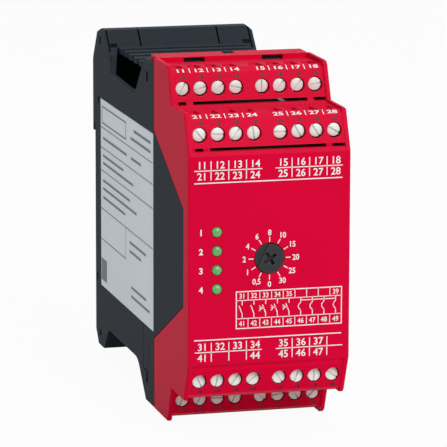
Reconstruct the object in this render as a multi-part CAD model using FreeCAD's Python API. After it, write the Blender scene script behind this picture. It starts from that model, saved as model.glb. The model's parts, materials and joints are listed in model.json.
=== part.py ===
"""Safety relay: a 45 mm wide module for a 35 mm rail, with 32 screw terminals and a time selector.

Frame: +X to the right, +Y to the back, +Z up, millimetres. The front panel looks along -Y.
The origin is the centre of the module's footprint, at the level of its lowest edge.

Side outlines are drawn as (depth, height) pairs: depth runs back from the front panel, and
height is counted from the module's mid-height, because the module is the same above and below.
"""
import FreeCAD
import Part

import math
import os

Vector = FreeCAD.Vector

# ---------------------------------------------------------------- driving dimensions
WIDTH = 45.0
HEIGHT = 99.0
DEPTH = 114.0
HALF_WIDTH = WIDTH / 2
HALF_HEIGHT = HEIGHT / 2

HOOD_WALL = 1.5         # moulded wall of the front hood
FLANK = 1.3             # its side walls, which stand proud of the faces as rims
BASE_WALL = 1.6         # moulded wall of the rear housing
BASE_SIDE = 1.5         # side walls of the rear housing
INNER_X = HALF_WIDTH - BASE_SIDE

# hood outline
PANEL_HALF = 28.4       # half the height of the flat front panel
TILT = math.radians(23.0)     # lean of every terminal face
STEP_HEIGHT = 38.7      # level of the step between the two terminal tiers
STEP_DEPTH = 18.7       # where the outer tier's rim rises from the step
FLANK_END = 39.0        # rear edge of the hood's side walls
BAND_END = 48.0         # rear edge of the hood's top and bottom bands
BAND_HALF = 20.8
RISER = 37.0            # front of the raised band
TONGUE_TIP = (6.4, 13.2)      # the rear housing's side walls reach forward to here
TONGUE_ROOT = 29.2

# terminals: two groups of four poles in each of four rows
POLE_PITCH = 5.0
GROUP_GAP = 7.3
GROUP_CENTRE = GROUP_GAP / 2 + 1.5 * POLE_PITCH
POLES = [side * (GROUP_GAP / 2 + i * POLE_PITCH) for side in (-1, 1) for i in range(4)]
POLES.sort()
INNER_TIER = (3.5, 33.65)     # depth of the screw heads and height of the screws, inner tiers
OUTER_TIER = (22.1, 43.25)    # the same, outer tiers
HEAD_RECESS = 1.0       # how far a head lies behind the terminal face
HEAD_R = 1.8
HEAD_LENGTH = 1.9
SHANK_R = 1.25
SHANK_LENGTH = 5.5
HEAD_CHAMBER = 2.2      # half the width of the chamber behind a hole
CLAMP_HALF = 1.6        # half the width of a clamp cage
CAGE_WALL = 0.35
SLOT_WIDTH = 0.45
SLOT_DEEP = 0.7
HEAD_HOLE_R = 2.08
ROUND_SIDES = 16        # thirty-two heads and holes repeat, so each is drawn with sixteen flats
SHANK_SIDES = 6         # and each threaded shank with six

# how far each screw happens to be turned, in degrees from level, left to right
SLOT_ANGLES = {
    1: (60, 15, 30, -15, 90, 45, 50, 10),
    2: (-50, -5, 50, -80, 0, -60, -55, -30),
    3: (-65, 78, 52, 35, -55, 68, 88, -35),
    4: (70, 62, 0, 62, -50, 10, -60, 45),
}

# front panel
DIAL_R = 3.95
DIAL_HOLE_R = 4.25
LAMP_X = -14.6
LAMP_PITCH = 5.2
LAMP_R = 1.4
LAMP_PROUD = 0.8        # how far a lamp stands out of the panel
FRONT_BOARD = 8.5       # depth of the front board's face
BOARD = 1.6             # thickness of every circuit board
BOARD_X = 17.4          # inner faces of the two side boards

# rear housing
REAR = 111.2            # plane that lies against the rail
HOOK_BOTTOM = 17.4      # lower edge of the fixed rail hook
HOOK_TOP = 19.7         # the rail's upper edge stops here
HOOK_LIP = 1.4
RAIL = 35.0
PANEL_LEVEL = 44.0      # vented wall between the hood and the rear block
TOWER_TOP = 48.1
NOTCH_LEVEL = 37.2      # floor of the cut-out in each side wall
ARCH_LEVEL = 38.5       # the arch under the housing
FOOT_LEVEL = 45.4

# rail clip
CLIP_HALF = 8.0
CLIP_NECK = 5.4
CLIP_TRAVEL = 4.0
CLIP_TOP = -10.0
CLIP_BOTTOM = -44.7
WINDOW_TOP = -22.0
WINDOW_BOTTOM = -36.5
POST_TOP = -34.2


# ---------------------------------------------------------------- drawing helpers
def at(depth, height, x=0.0):
    """A point of the side view, depth behind the panel and height from mid-height."""
    return Vector(x, depth - DEPTH / 2, height + HALF_HEIGHT)


def flipped(points):
    """The same outline below mid-height, run the other way so that the two halves join."""
    return [(p[0], -p[1]) + tuple(p[2:]) for p in reversed(points)]


def side_face(points):
    """Face from (depth, height) corners; a third number rounds the corner with that radius."""
    corners = [at(p[0], p[1]) for p in points]
    radii = [p[2] if len(p) > 2 else 0.0 for p in points]
    edges = []
    count = len(corners)
    starts, ends, mids = [], [], []
    for i, corner in enumerate(corners):
        before = (corners[i - 1] - corner).normalize()
        after = (corners[(i + 1) % count] - corner).normalize()
        if radii[i] == 0.0:
            starts.append(corner)
            ends.append(corner)
            mids.append(None)
            continue
        half = before.getAngle(after) / 2
        reach = radii[i] / math.tan(half)
        centre = corner + (before + after).normalize() * (radii[i] / math.sin(half))
        starts.append(corner + before * reach)
        ends.append(corner + after * reach)
        mids.append(centre + (corner - centre).normalize() * radii[i])
    for i in range(count):
        if mids[i] is not None:
            edges.append(Part.Arc(starts[i], mids[i], ends[i]).toShape())
        following = starts[(i + 1) % count]
        if (following - ends[i]).Length > 1e-6:
            edges.append(Part.LineSegment(ends[i], following).toShape())
    return Part.Face(Part.Wire(edges))


def across(face, x0, x1):
    """Solid swept from a side-view face between two X positions."""
    moved = face.copy()
    moved.translate(Vector(x0, 0, 0))
    return moved.extrude(Vector(x1 - x0, 0, 0))


def block(x, depth, height):
    """Box from (low, high) pairs in X, depth and height from mid-height."""
    size = (x[1] - x[0], depth[1] - depth[0], height[1] - height[0])
    return Part.makeBox(*size, at(depth[0], height[0], x[0]))


def rod(radius, x, height, depth0, depth1):
    """Cylinder along the depth direction."""
    return Part.makeCylinder(radius, depth1 - depth0, at(depth0, height, x), Vector(0, 1, 0))


def prism(radius, sides, x, height, depth0, depth1):
    """Many-sided bar along the depth direction, its corners on the given radius."""
    angles = [2 * math.pi * (i + 0.5) / sides for i in range(sides)]
    corners = [at(depth0, height + radius * math.sin(a), x + radius * math.cos(a)) for a in angles]
    return Part.Face(Part.makePolygon(corners + corners[:1])).extrude(Vector(0, depth1 - depth0, 0))


def both_ends(solid):
    """The solid and its mirror image below mid-height."""
    return [solid, solid.mirror(at(0, 0), Vector(0, 0, 1))]


def both_sides(solid):
    """The solid and its mirror image across the middle plane."""
    return [solid, solid.mirror(Vector(0, 0, 0), Vector(1, 0, 0))]


def fused(solids):
    """One clean solid from touching or overlapping ones."""
    return solids[0].multiFuse(solids[1:]).removeSplitter()


def lean(rise):
    """How far back a terminal face lies after rising by the given height."""
    return rise * math.tan(TILT)


# ---------------------------------------------------------------- front hood
def tier_outline(tier):
    """Terminal face, label strip and the top behind it, for one tier."""
    depth, height = tier
    face_depth = depth - HEAD_RECESS
    strip = (2.95, 1.7)
    top = (face_depth + lean(3.25), height + 3.25)
    return [
        (face_depth - lean(3.25), height - 3.25),
        top,
        (top[0] + strip[0], top[1] + strip[1]),
        (top[0] + strip[0] + 0.4, top[1] + strip[1] - 0.3),
    ]


def rim_outline():
    """Half outline of the hood's side wall, from mid-height up and back."""
    rise = STEP_HEIGHT - PANEL_HALF
    top_rise = HALF_HEIGHT - STEP_HEIGHT
    return [
        (0.0, PANEL_HALF, 1.0),
        (lean(rise), STEP_HEIGHT, 1.2),
        (STEP_DEPTH, STEP_HEIGHT),
        (STEP_DEPTH + lean(top_rise), HALF_HEIGHT, 2.0),
        (FLANK_END, HALF_HEIGHT),
        (FLANK_END, TONGUE_ROOT),
        TONGUE_TIP,
    ]


def middle_outline():
    """Half outline between the rims: panel, inner tier, step, outer tier and raised band."""
    inner = tier_outline(INNER_TIER)
    outer = tier_outline(OUTER_TIER)
    step = inner[-1][1]
    deck = outer[-1][1]
    return [
        (0.0, PANEL_HALF),
        (inner[0][0], PANEL_HALF + 1.1),
        *inner,
        (outer[0][0] - 1.1, step),
        (outer[0][0] - 0.3, step + 0.8),
        *outer,
        (RISER, deck),
        (RISER, HALF_HEIGHT),
    ]


def frustum(mouth, throat):
    """Solid between two flat outlines with the same number of corners."""
    faces = [Part.Face(Part.makePolygon(ring + ring[:1])) for ring in (mouth, throat)]
    for i in range(len(mouth)):
        side = [mouth[i - 1], mouth[i], throat[i], throat[i - 1], mouth[i - 1]]
        faces.append(Part.Face(Part.makePolygon(side)))
    return Part.Solid(Part.Shell(faces))


def wire_funnel(x, tier):
    """Wire entry behind one screw: a four-sided funnel that narrows through the wall."""
    deck = tier_outline(tier)[-1]
    rings = []
    for drop, half_front, half_back, front, back in ((-0.02, 2.1, 1.2, -2.6, 2.8),
                                                     (HOOD_WALL + 0.05, 1.6, 1.05, -1.9, 1.4)):
        corners = [(half_front, front), (half_back, back), (-half_back, back), (-half_front, front)]
        rings.append([at(deck[0] + 4.4 + d, deck[1] - drop, x + side) for side, d in corners])
    return frustum(*rings)


def catch_slots(tier):
    """Three thin slots at the foot of a terminal face, where a marker cover clips in."""
    foot = tier_outline(tier)[0]
    height = (foot[1] - 0.95, foot[1] - 0.1)
    depth = (foot[0] - 3.0, foot[0] + 1.3)
    spans = ((-19.8, -17.5), (-15.6, 15.6), (17.6, 20.8))
    return [block(span, depth, height) for span in spans]


def front_hood():
    """Stepped red hood: a thin shell with leaning terminal faces between two raised rims."""
    rim = rim_outline()
    half = middle_outline()
    outside = side_face(flipped(half + [(BAND_END, HALF_HEIGHT)]) + half + [(BAND_END, HALF_HEIGHT)])
    far = side_face(flipped(half + [(70.0, HALF_HEIGHT)]) + half + [(70.0, HALF_HEIGHT)])
    inside = far.makeOffset2D(-HOOD_WALL, join=2)
    shell = across(outside, -HALF_WIDTH + FLANK, HALF_WIDTH - FLANK)
    shell = shell.cut(across(inside, -HALF_WIDTH, HALF_WIDTH))
    for side in both_sides(block((BAND_HALF, HALF_WIDTH), (FLANK_END, 60), (-60, 60))):
        shell = shell.cut(side)
    flank = across(side_face(flipped(rim) + rim), HALF_WIDTH - FLANK, HALF_WIDTH)
    bevel = [e for e in flank.Edges if is_front_edge(e)]
    flank = flank.makeChamfer(0.5, bevel)
    hood = fused([shell] + both_sides(flank))
    cuts = []
    for tier in (INNER_TIER, OUTER_TIER):
        for x in POLES:
            hole = prism(HEAD_HOLE_R, ROUND_SIDES, x, tier[1], tier[0] - 4.5, tier[0] + 3.2)
            cuts += both_ends(hole)
            cuts += both_ends(wire_funnel(x, tier))
        for slot in catch_slots(tier):
            cuts += both_ends(slot)
    for x in (-GROUP_CENTRE, GROUP_CENTRE):
        cuts += both_ends(block((x - 3.05, x + 3.05), (RISER - 0.1, 41.2), (46.2, 49.0)))
    cuts += both_ends(block((-2.0, 2.0), (43.0, BAND_END + 1), (40, 60)))
    cuts.append(rod(DIAL_HOLE_R, 0, 0, -1, 3))
    for height in lamp_heights():
        cuts.append(rod(LAMP_R + 0.15, LAMP_X, height, -1, 3))
    return hood.cut(Part.makeCompound(cuts))


def is_front_edge(edge):
    """True for the outer edges of a side wall along the panel and the terminal tiers."""
    on_outside = all(abs(v.X - HALF_WIDTH) < 1e-6 for v in edge.Vertexes)
    ahead = edge.CenterOfMass.y + DEPTH / 2 < STEP_DEPTH + 3.5
    return on_outside and ahead and not is_tongue_edge(edge)


def is_tongue_edge(edge):
    """True for the hood edges that meet the forward tongue of the rear housing."""
    furthest = max(v.Y for v in edge.Vertexes) + DEPTH / 2
    from_middle = abs(edge.CenterOfMass.z - HALF_HEIGHT)
    return furthest >= TONGUE_TIP[0] - 1e-6 and from_middle < TONGUE_ROOT + 1


# ---------------------------------------------------------------- rear housing
def rear_outline():
    """Shared rear edge of the housing: hook, rail face and foot, from the top down."""
    return [
        (107.6, TOWER_TOP, 2.5),
        (DEPTH, 38.8, 3.0),
        (DEPTH, HOOK_BOTTOM),
        (DEPTH - HOOK_LIP, HOOK_BOTTOM),
        (DEPTH - HOOK_LIP, HOOK_TOP),
        (REAR, HOOK_TOP),
        (REAR, -42.3),
        (107.8, -FOOT_LEVEL),
        (100.7, -FOOT_LEVEL),
    ]


def side_plate():
    """Side wall of the rear housing, with its forward tongue, top notch and bottom arch."""
    top = [
        TONGUE_TIP,
        (FLANK_END, TONGUE_ROOT),
        (FLANK_END, 48.0),
        (49.4, 48.0),
        (97.4 - NOTCH_LEVEL, NOTCH_LEVEL),
        (NOTCH_LEVEL + 53.5, NOTCH_LEVEL),
        (TOWER_TOP + 53.5, TOWER_TOP),
    ]
    bottom = [
        (ARCH_LEVEL + 55.3, -ARCH_LEVEL),
        (97.4 - ARCH_LEVEL, -ARCH_LEVEL),
        (48.3, -49.1),
        (FLANK_END, -49.1),
        (FLANK_END, -TONGUE_ROOT),
        (TONGUE_TIP[0], -TONGUE_TIP[1]),
    ]
    return across(side_face(top + rear_outline() + bottom), INNER_X, HALF_WIDTH)


def tub_outline():
    """Outline of the walls between the side plates."""
    top = [
        (FLANK_END, 48.0),
        (BAND_END + 0.2, 48.0),
        (BAND_END + 0.2, PANEL_LEVEL),
        (98.3, PANEL_LEVEL),
        (101.9, TOWER_TOP - 0.5),
    ]
    bottom = [
        (ARCH_LEVEL + 55.3, -ARCH_LEVEL),
        (97.4 - ARCH_LEVEL, -ARCH_LEVEL),
        (BAND_END + 0.1, -47.8),
        (BAND_END + 0.1, -48.0),
        (FLANK_END, -48.0),
    ]
    rear = rear_outline()
    rear[0] = (107.6, TOWER_TOP - 0.5, 2.5)
    return top + rear + bottom


def clip_channel():
    """T-shaped channel in the rear wall, open below, for the rail clip."""
    wide = block((-CLIP_HALF - 0.3, CLIP_HALF + 0.3), (107.0, 110.0), (-60, CLIP_TOP + 0.5))
    neck = block((-CLIP_NECK - 0.3, CLIP_NECK + 0.3), (109.0, REAR + 1), (-60, CLIP_TOP + 0.5))
    return wide.fuse(neck)


def snap_holes():
    """Small slots through the side walls, where inner parts snap in."""
    half = 0.7
    places = ((46.4, 43.2, 2.9), (46.9, -42.6, 2.9), (107.2, 27.3, 2.0), (109.2, -26.0, 2.4),
              (104.6, 45.2, 2.2), (105.4, -42.4, 2.0))
    return [block((INNER_X - 1, HALF_WIDTH + 1), (depth - half, depth + half),
                  (height - length / 2, height + length / 2)) for depth, height, length in places]


def latch_tab():
    """Groove that frees a springy tab in each side wall, just behind the hood."""
    groove = 0.4
    face = (HALF_WIDTH - 0.6, HALF_WIDTH + 1)
    return [
        block(face, (50.9, 50.9 + groove), (-40.4, -28.0)),
        block(face, (45.0, 45.0 + groove), (-40.4, -32.5)),
        block(face, (45.0, 50.9 + groove), (-40.4 - groove, -40.4)),
    ]


def base_housing():
    """Dark rear housing: a deep tub with a rail hook, vents and the clip's channel."""
    outline = side_face(tub_outline())
    tub = across(outline, -INNER_X, INNER_X)
    hollow = outline.makeOffset2D(-BASE_WALL, join=2)
    tub = tub.cut(across(hollow, -INNER_X, INNER_X))
    tub = tub.cut(block((-INNER_X, INNER_X), (30, FLANK_END + BASE_WALL + 0.1), (-46.4, 46.4)))
    plates = both_sides(side_plate())
    boss = block((-CLIP_HALF - 1.9, CLIP_HALF + 1.9), (105.2, 109.8), (-43.6, CLIP_TOP + 2.1))
    ribs = []
    for x0 in (BOARD_X - 1.2, BOARD_X + BOARD):
        ribs += both_sides(block((x0, x0 + 1.2), (107.4, 109.8), (-30, 30)))
    lugs = []
    for x in (-GROUP_CENTRE, GROUP_CENTRE):
        lugs += both_ends(block((x - 2.9, x + 2.9), (RISER + 0.4, 40.9), (46.4, 48.9)))
    tongue = both_ends(block((-1.8, 1.8), (43.4, BAND_END), (46.8, 48.9)))
    housing = fused([tub] + plates + [boss] + ribs + lugs + tongue)
    cuts = [clip_channel()]
    for i in range(7):
        cuts.append(block((-18.5, 18.5), (52.5 + 6.4 * i, 55.7 + 6.4 * i), (40, 46)))
    for i in range(5):
        cuts.append(block((-18.5, 18.5), (61.8 + 6.4 * i, 65.0 + 6.4 * i), (-40, -36)))
    for hole in snap_holes() + latch_tab():
        cuts += both_sides(hole)
    cuts.append(across(side_face(label_outline(0.1)), -HALF_WIDTH - 1, -HALF_WIDTH + 0.15))
    for x in (-11.8, 11.8):
        cuts.append(tower_seam(x))
    housing = housing.cut(Part.makeCompound(cuts))
    post = block((-2.7, 2.7), (106.5, 109.8), (WINDOW_BOTTOM, POST_TOP))
    return housing.fuse(post).removeSplitter()


def tower_seam(x):
    """Fine groove down the sloping front of the rear block."""
    line = [(97.6, 43.3), (102.3, 48.0), (103.0, 48.0), (103.0, 47.3), (98.5, 43.0)]
    return across(side_face(line), x - 0.2, x + 0.2)


# ---------------------------------------------------------------- label
def label_outline(margin=0.0):
    """Rating label on the left side."""
    low, high = 39.3 - margin, 104.0 + margin
    bottom, top = -27.6 - margin, 28.2 + margin
    return [(low, bottom), (high, bottom), (high, top), (low, top)]


def side_label():
    """Adhesive label, flush in its shallow recess."""
    return across(side_face(label_outline()), -HALF_WIDTH, -HALF_WIDTH + 0.15)


# ---------------------------------------------------------------- controls on the panel
def lamp_heights():
    """Heights of the four status lamps, from the top one down."""
    return [LAMP_PITCH * (1.5 - i) for i in range(4)]


def status_lamp(height):
    """Light guide from the front board to the end that stands out of the panel."""
    return rod(LAMP_R, LAMP_X, height, -LAMP_PROUD, FRONT_BOARD)


def selector_knob():
    """Rotary selector: flat disc with a cross recess and a stepped pointer edge, on a shaft."""
    disc = rod(DIAL_R, 0, 0, -0.5, 2.2)
    shaft = rod(1.5, 0, 0, 2.2, 7.6)
    knob = fused([disc, shaft])
    arm = Part.makeBox(4.0, 1.4, 1.05, Vector(-2.0, -0.6, -0.525))
    cross = arm.fuse(arm.rotated(Vector(0, 0, 0), Vector(0, 1, 0), 90))
    cross.rotate(Vector(0, 0, 0), Vector(0, 1, 0), -32)
    cross.translate(at(0, 0))
    step = Part.makeBox(3.0, 0.9, 9.0, Vector(-4.9, -0.6, -4.5))
    step.rotate(Vector(0, 0, 0), Vector(0, 1, 0), 26)
    step.translate(at(0, 0))
    return knob.cut(Part.makeCompound([cross, step]))


def selector_switch():
    """Coding switch on the front board; its rotor takes the knob's shaft."""
    body = block((-5, 5), (3.4, FRONT_BOARD), (-5, 5))
    return body.cut(rod(1.55, 0, 0, 3.0, 8.0))


# ---------------------------------------------------------------- circuit boards and parts
def board_outline():
    """Half outline of a side board, stepped to sit under the two terminal blocks."""
    return [
        (FRONT_BOARD + BOARD, 30.2),
        (15.9, 30.2),
        (15.9, 35.4),
        (19.8, 35.4),
        (22.4, 39.8),
        (34.1, 39.8),
        (34.1, 34.0),
        (REAR - BASE_WALL, 34.0),
    ]


def side_board(side):
    """Upright circuit board along one side of the housing."""
    face = side_face(flipped(board_outline()) + board_outline())
    x0 = BOARD_X if side > 0 else -BOARD_X - BOARD
    return across(face, x0, x0 + BOARD)


def front_board():
    """Small board behind the panel that carries the lamps and the selector switch."""
    return block((-20.5, 20.5), (FRONT_BOARD, FRONT_BOARD + BOARD), (-24, 24))


def board_link():
    """Cross board that ties the two side boards together."""
    return block((-BOARD_X, BOARD_X), (24.0, 25.6), (-8, 8))


def safety_relay(index):
    """Force-guided relay: a sealed case with bevelled long edges, flat on the left board."""
    bottom = -27.0 + 13.9 * index
    case = block((-BOARD_X, -1.9), (40, 92), (bottom, bottom + 12.3))
    edges = [e for e in case.Edges if abs(e.CenterOfMass.x + 1.9) < 1e-6]
    return case.makeChamfer(0.8, edges)


def supply_capacitor():
    """Electrolytic capacitor standing on the right board."""
    return Part.makeCylinder(6.0, 15.0, at(98.0, -20.0, BOARD_X), Vector(-1, 0, 0))


# ---------------------------------------------------------------- terminals
def tier_of(row):
    """Tier position and whether the row lies below mid-height, rows counted from the top."""
    return {1: (OUTER_TIER, False), 2: (INNER_TIER, False), 3: (INNER_TIER, True), 4: (OUTER_TIER, True)}[row]


def placed(solid, row):
    """The solid as drawn for an upper row, mirrored for the two lower ones."""
    if tier_of(row)[1]:
        return solid.mirror(at(0, 0), Vector(0, 0, 1))
    return solid


def terminal_block(row):
    """Eight-pole block behind a terminal face: a comb of chambers with a shoulder for each screw."""
    depth, height = tier_of(row)[0]
    wall = HOOD_WALL / math.cos(TILT) - HEAD_RECESS
    low, high = height - 3.45, height + 1.65
    top = height + 2.85
    outline = [
        (depth + wall + lean(low - height), low),
        (depth + wall + lean(high - height), high),
        (depth + 3.8, top),
        (depth + 12.0, top),
        (depth + 12.0, low),
    ]
    body = across(side_face(outline), -20.9, 20.9)
    chambers = []
    for x in POLES:
        level = (height - HEAD_CHAMBER, top + 1)
        mouth = block((x - HEAD_CHAMBER, x + HEAD_CHAMBER), (depth - 2, depth + HEAD_LENGTH), level)
        cell = block((x - CLAMP_HALF - 0.1, x + CLAMP_HALF + 0.1), (depth + 1, depth + 11.2), level)
        chambers += [mouth, cell]
    return placed(body.cut(Part.makeCompound(chambers)), row)


def terminal_clamps(row):
    """Eight rising clamp cages round their contact bars, on the floors of the block's chambers."""
    depth, height = tier_of(row)[0]
    floor = height - HEAD_CHAMBER
    tip = depth + HEAD_LENGTH + SHANK_LENGTH
    hole = SHANK_R + 0.1
    parts = []
    for x in POLES:
        cage = block((x - CLAMP_HALF, x + CLAMP_HALF), (depth + 4.7, depth + 10.8), (floor, height + 2.2))
        opening = block((x - CLAMP_HALF + CAGE_WALL, x + CLAMP_HALF - CAGE_WALL),
                        (depth + 5.9, depth + 10.1), (floor - 1, height + 4))
        passage = block((x - hole, x + hole), (depth + 4, depth + 6), (height - hole, height + hole))
        bar = block((x - 1.1, x + 1.1), (tip, tip + 0.8), (floor, height + 2.6))
        parts += [cage.cut(opening.fuse(passage)), bar]
    return placed(Part.makeCompound(parts), row)


def terminal_screw(row, x, angle):
    """Captive slotted screw of one terminal."""
    (depth, height), below = tier_of(row)
    if below:
        height = -height
    head = prism(HEAD_R, ROUND_SIDES, x, height, depth, depth + HEAD_LENGTH)
    neck = depth + HEAD_LENGTH
    shank = prism(SHANK_R, SHANK_SIDES, x, height, neck - 0.2, neck + SHANK_LENGTH)
    slot = Part.makeBox(6.0, 1.0 + SLOT_DEEP, SLOT_WIDTH, Vector(-3.0, -1.0, -SLOT_WIDTH / 2))
    slot.rotate(Vector(0, 0, 0), Vector(0, 1, 0), -angle)
    slot.translate(at(depth, height, x))
    return head.fuse(shank).cut(slot)


# ---------------------------------------------------------------- rail clip
def din_clip():
    """Sliding rail clip: a T-shaped plate with a hooked nose, a spring window and a pull slot."""
    wide = block((-CLIP_HALF, CLIP_HALF), (107.2, 109.8), (CLIP_BOTTOM, CLIP_TOP))
    neck = block((-CLIP_NECK, CLIP_NECK), (109.6, REAR), (CLIP_BOTTOM, CLIP_TOP))
    rail_edge = HOOK_TOP - RAIL
    nose = side_face([
        (REAR - 1.0, rail_edge - 4.5),
        (DEPTH - 1.6, rail_edge - 4.5),
        (DEPTH, rail_edge - 2.6),
        (DEPTH, rail_edge + 0.4),
        (DEPTH - 0.6, rail_edge + 1.2),
        (DEPTH - 1.5, rail_edge + 1.2),
        (DEPTH - 1.5, rail_edge),
        (REAR - 1.0, rail_edge),
    ])
    nose = across(nose, -CLIP_NECK, CLIP_NECK)
    body = fused([wide, neck, nose])
    window = block((-3.1, 3.1), (106, 115), (WINDOW_BOTTOM, WINDOW_TOP))
    pull = block((-3.0, 3.0), (106, 115), (CLIP_BOTTOM + 1.6, CLIP_BOTTOM + 3.6))
    return body.cut(Part.makeCompound([window, pull]))


def clip_spring():
    """Zigzag steel strip between the housing's post and the top of the clip's window."""
    turns = 6
    swing = 2.2
    strip = 0.35
    pitch = (WINDOW_TOP - POST_TOP) / turns
    half = strip / 2 / math.sin(math.atan(pitch / (2 * swing)))
    path = [(swing * (-1) ** i, POST_TOP + pitch * i) for i in range(turns + 1)]
    left = [at(107.6, z, x - half) for x, z in path]
    right = [at(107.6, z, x + half) for x, z in reversed(path)]
    return Part.Face(Part.makePolygon(left + right + left[:1])).extrude(Vector(0, 1.8, 0))


# ---------------------------------------------------------------- all the pieces
def pieces():
    """Every node's name with its solid."""
    named = {
        "base_housing": base_housing(),
        "front_hood": front_hood(),
        "side_label": side_label(),
        "selector_knob": selector_knob(),
        "selector_switch": selector_switch(),
        "relay_board": side_board(-1),
        "logic_board": side_board(1),
        "front_board": front_board(),
        "board_link": board_link(),
        "supply_capacitor": supply_capacitor(),
        "din_clip": din_clip(),
        "clip_spring": clip_spring(),
    }
    for i, height in enumerate(lamp_heights()):
        named[f"status_lamp_{i + 1}"] = status_lamp(height)
    for i in range(4):
        named[f"safety_relay_{i + 1}"] = safety_relay(i)
    for row in (1, 2, 3, 4):
        named[f"terminal_block_{row}"] = terminal_block(row)
        named[f"terminal_clamps_{row}"] = terminal_clamps(row)
        for i, x in enumerate(POLES):
            named[f"terminal_screw_{row}_{i + 1}"] = terminal_screw(row, x, SLOT_ANGLES[row][i])
    return named


os.makedirs("parts", exist_ok=True)
for name, shape in pieces().items():
    shape.exportStep(f"parts/{name}.step")
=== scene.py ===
"""Dresses the safety relay: finer shells, plastics, plated screws, lamps, print, light and camera.

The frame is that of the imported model: +X right, +Y back, +Z up. Meshes are in metres. Flat print and the
moulded shells are drawn in millimetres and scaled by MM.
"""
import json
import logging
import math
from dataclasses import dataclass, field
from enum import Enum

import bmesh
import bpy
from bmesh.types import BMesh
from bpy.types import Material, Mesh, Node, NodeSocket, NodeTree, Object
from mathutils import Matrix, Vector


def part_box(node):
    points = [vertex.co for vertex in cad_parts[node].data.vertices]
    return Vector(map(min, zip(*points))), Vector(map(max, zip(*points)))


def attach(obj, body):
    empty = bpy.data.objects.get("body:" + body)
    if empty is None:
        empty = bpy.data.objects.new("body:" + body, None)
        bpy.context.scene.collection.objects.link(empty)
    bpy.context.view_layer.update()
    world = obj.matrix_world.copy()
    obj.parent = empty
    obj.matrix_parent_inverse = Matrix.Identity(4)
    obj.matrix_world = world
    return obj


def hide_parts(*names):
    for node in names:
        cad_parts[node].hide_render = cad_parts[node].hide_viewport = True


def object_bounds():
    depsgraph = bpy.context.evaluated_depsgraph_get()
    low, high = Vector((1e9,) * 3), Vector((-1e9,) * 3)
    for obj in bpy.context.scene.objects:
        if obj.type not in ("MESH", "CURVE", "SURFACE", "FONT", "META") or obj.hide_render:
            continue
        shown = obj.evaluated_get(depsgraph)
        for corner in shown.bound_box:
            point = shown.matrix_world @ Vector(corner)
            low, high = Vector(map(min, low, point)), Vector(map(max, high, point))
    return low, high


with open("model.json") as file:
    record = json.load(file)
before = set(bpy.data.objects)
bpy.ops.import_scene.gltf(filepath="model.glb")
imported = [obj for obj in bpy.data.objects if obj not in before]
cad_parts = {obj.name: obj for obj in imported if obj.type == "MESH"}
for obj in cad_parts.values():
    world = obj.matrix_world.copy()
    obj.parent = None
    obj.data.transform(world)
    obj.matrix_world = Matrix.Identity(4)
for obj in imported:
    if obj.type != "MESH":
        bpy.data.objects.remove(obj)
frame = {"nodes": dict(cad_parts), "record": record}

log = logging.getLogger("safety_relay")

MM = 0.001
CAD_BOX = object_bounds()
HOOD_LOW, HOOD_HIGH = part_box("front_hood")
PANEL_Y = HOOD_LOW.y
MIDDLE_Z = (HOOD_LOW.z + HOOD_HIGH.z) / 2
TILT = math.radians(23.0)
POLES_MM = sorted(side * (3.65 + 5.0 * i) for side in (-1, 1) for i in range(4))
Pair = tuple[float, float]
Triple = tuple[float, float, float]


class Body(Enum):
    """Bodies that new pieces ride on, apart from the screws' own."""

    HOUSING = "housing"


class Finish(Enum):
    """Names of the record's material slots."""

    HOOD = "red_hood"
    HOUSING = "dark_housing"
    LABEL = "label"
    LAMP = "lamp_lens"
    SCREW = "screw_metal"


# ------------------------------------------------------------------ shader wiring
class Wiring:
    """Adds and joins nodes in one material or group."""

    def __init__(self, tree: NodeTree) -> None:
        """Starts from an empty tree."""
        self.tree = tree
        tree.nodes.clear()

    def add(self, kind: str, **settings: object) -> Node:
        """Adds a node.

        Args:
            kind: Node type without its "ShaderNode" or "Node" start.
            **settings: Properties of the node, such as operation.

        Returns:
            The new node.
        """
        prefix = "Node" if kind in ("GroupInput", "GroupOutput") else "ShaderNode"
        node = self.tree.nodes.new(prefix + kind)
        for name, value in settings.items():
            setattr(node, name, value)
        return node

    def join(self, start: NodeSocket, end: NodeSocket) -> None:
        """Links an output socket to an input socket."""
        self.tree.links.new(start, end)

    def feed(self, value: object, end: NodeSocket) -> None:
        """Links a socket to an input, or sets the input to a number or a colour."""
        if isinstance(value, NodeSocket):
            self.join(value, end)
        else:
            end.default_value = value

    def supply(self, node: Node, values: dict[str, object]) -> None:
        """Feeds several inputs of a node, by their names."""
        for name, value in values.items():
            self.feed(value, node.inputs[name])

    def math(self, operation: str, first: object, second: object = None, clamp: bool = False) -> NodeSocket:
        """Adds a math node whose inputs are numbers or sockets.

        Args:
            operation: Blender's name of the operation.
            first: Number or socket.
            second: Number or socket, where the operation takes two.
            clamp: Whether the result is kept between 0 and 1.

        Returns:
            The node's output socket.
        """
        node = self.add("Math", operation=operation, use_clamp=clamp)
        for place, value in enumerate((first, second)):
            if value is not None:
                self.feed(value, node.inputs[place])
        return node.outputs[0]

    def blend(self, amount: object, first: object, second: object) -> NodeSocket:
        """Mixes two colours by an amount; each input is a socket or a value.

        Returns:
            The mixed colour's socket.
        """
        node = self.add("Mix", data_type="RGBA")
        for place, value in ((0, amount), (6, first), (7, second)):
            self.feed(value, node.inputs[place])
        return node.outputs[2]

    def noise(self, scale: object, detail: float = 2.0,
              stretch: Triple = (1, 1, 1)) -> NodeSocket:
        """Adds object-space noise.

        Args:
            scale: Features per metre, a number or a socket.
            detail: Number of finer octaves.
            stretch: Scale of each axis before the noise.

        Returns:
            The noise value's socket.
        """
        place = self.add("TexCoord")
        mapping = self.add("Mapping")
        self.supply(mapping, {"Vector": place.outputs["Object"], "Scale": stretch})
        noise = self.add("TexNoise")
        self.supply(noise, {"Vector": mapping.outputs["Vector"], "Scale": scale, "Detail": detail})
        return noise.outputs["Fac"]


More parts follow.
